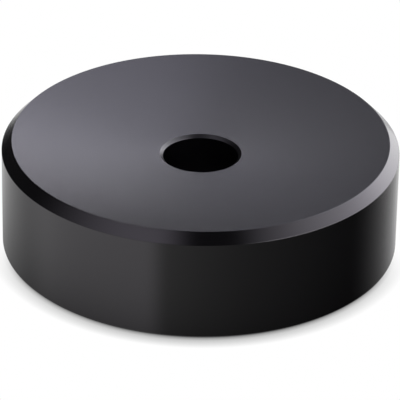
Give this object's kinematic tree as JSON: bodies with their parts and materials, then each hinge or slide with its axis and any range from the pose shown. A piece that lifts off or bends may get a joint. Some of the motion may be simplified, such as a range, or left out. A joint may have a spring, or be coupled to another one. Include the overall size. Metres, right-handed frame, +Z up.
{
  "type": "record spindle adapter",
  "caption": "Turned aluminium puck with a shallow dished top and a central bore, which centres a record with a large hole on a turntable spindle.",
  "frame": {"origin": "centre of the foot, on the surface that the puck rests on", "axes": "+Z up along the bore's axis, from the foot to the dished top"},
  "size_m": [0.038, 0.038, 0.0108],
  "materials": {
    "black_anodised": "turned and black anodised, with fine turning marks on the top and a glossy side"
  },
  "bodies": {
    "root": {"adapter_body": "black_anodised"}
  },
  "joints": []
}
